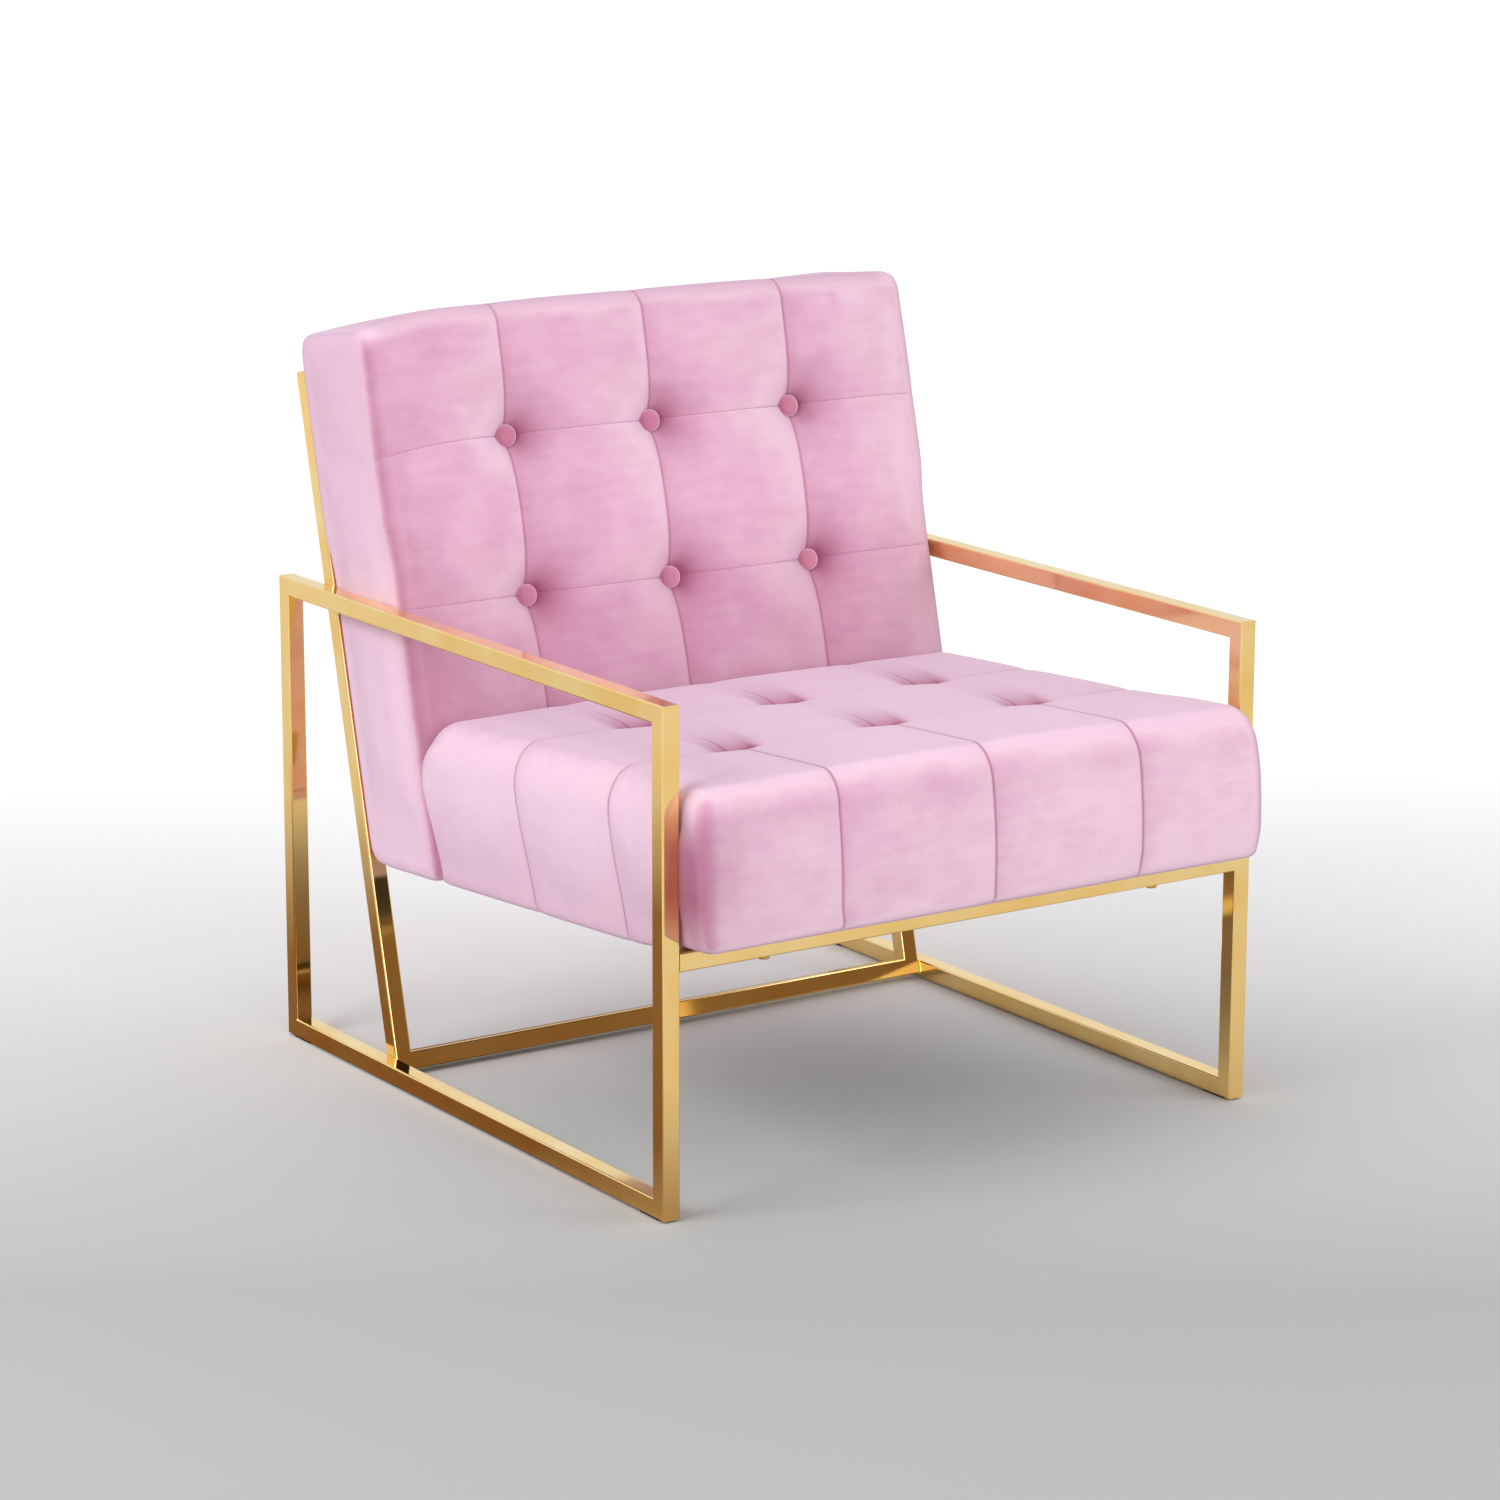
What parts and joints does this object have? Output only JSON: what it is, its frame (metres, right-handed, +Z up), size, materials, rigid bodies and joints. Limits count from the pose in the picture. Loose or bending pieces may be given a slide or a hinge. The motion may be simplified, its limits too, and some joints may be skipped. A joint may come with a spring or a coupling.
{
  "type": "lounge armchair",
  "caption": "Lounge armchair with a deep tufted velvet seat and buttoned leaning back, bolted to a polished gold square-tube frame of two closed arm loops and a back frame.",
  "frame": {"origin": "on the floor, at the middle of the chair's outline", "axes": "+Z up, +Y to the rear, +X to the right as seen from the front"},
  "size_m": [0.735, 0.812, 0.8216],
  "materials": {
    "polished_gold": "polished gold plating over welded square steel tube",
    "glide_nylon": "dark moulded nylon",
    "pink_velvet": "short pile velvet",
    "cushion_foam": "open-cell polyurethane foam and wadding",
    "beech_frame": "sawn and planed beech",
    "elastic_webbing": "woven elastic webbing",
    "tufting_twine": "waxed polyester twine",
    "toggle_plastic": "moulded polypropylene",
    "dust_cloth": "spun-bonded polypropylene cloth",
    "bolt_steel": "plated steel",
    "zinc_steel": "zinc plated"
  },
  "bodies": {
    "root": {"back_bolts": "bolt_steel", "back_bottom_board": "beech_frame", "back_button_lower_left": "pink_velvet", "back_button_lower_middle": "pink_velvet", "back_button_lower_right": "pink_velvet", "back_button_toggles": "toggle_plastic", "back_button_twines": "tufting_twine", "back_button_upper_left": "pink_velvet", "back_button_upper_middle": "pink_velvet", "back_button_upper_right": "pink_velvet", "back_cover": "pink_velvet", "back_cross_webbing": "elastic_webbing", "back_edge_pad": "cushion_foam", "back_foam": "cushion_foam", "back_rear_panel": "pink_velvet", "back_tee_nuts": "zinc_steel", "back_top_board": "beech_frame", "back_upright_webbing": "elastic_webbing", "front_rail_bolts": "bolt_steel", "front_rail_inserts": "zinc_steel", "front_seat_rail": "polished_gold", "left_arm_rail": "polished_gold", "left_back_stile": "beech_frame", "left_back_upright": "polished_gold", "left_base_rail": "polished_gold", "left_front_glide": "glide_nylon", "left_front_post": "polished_gold", "left_lower_back_tab": "polished_gold", "left_rear_glide": "glide_nylon", "left_rear_post": "polished_gold", "left_seat_side_board": "beech_frame", "left_seat_side_pad": "cushion_foam", "left_upper_back_tab": "polished_gold", "left_upright_cap": "polished_gold", "lower_back_crossbar": "polished_gold", "right_arm_rail": "polished_gold", "right_back_stile": "beech_frame", "right_back_upright": "polished_gold", "right_base_rail": "polished_gold", "right_front_glide": "glide_nylon", "right_front_post": "polished_gold", "right_lower_back_tab": "polished_gold", "right_rear_glide": "glide_nylon", "right_rear_post": "polished_gold", "right_seat_side_board": "beech_frame", "right_seat_side_pad": "cushion_foam", "right_upper_back_tab": "polished_gold", "right_upright_cap": "polished_gold", "seat_corner_blocks": "beech_frame", "seat_cover": "pink_velvet", "seat_cross_webbing": "elastic_webbing", "seat_dust_cover": "dust_cloth", "seat_foam": "cushion_foam", "seat_front_board": "beech_frame", "seat_long_webbing": "elastic_webbing", "seat_rear_board": "beech_frame", "seat_tuft_toggles": "toggle_plastic", "seat_tuft_twines": "tufting_twine"}
  },
  "joints": []
}
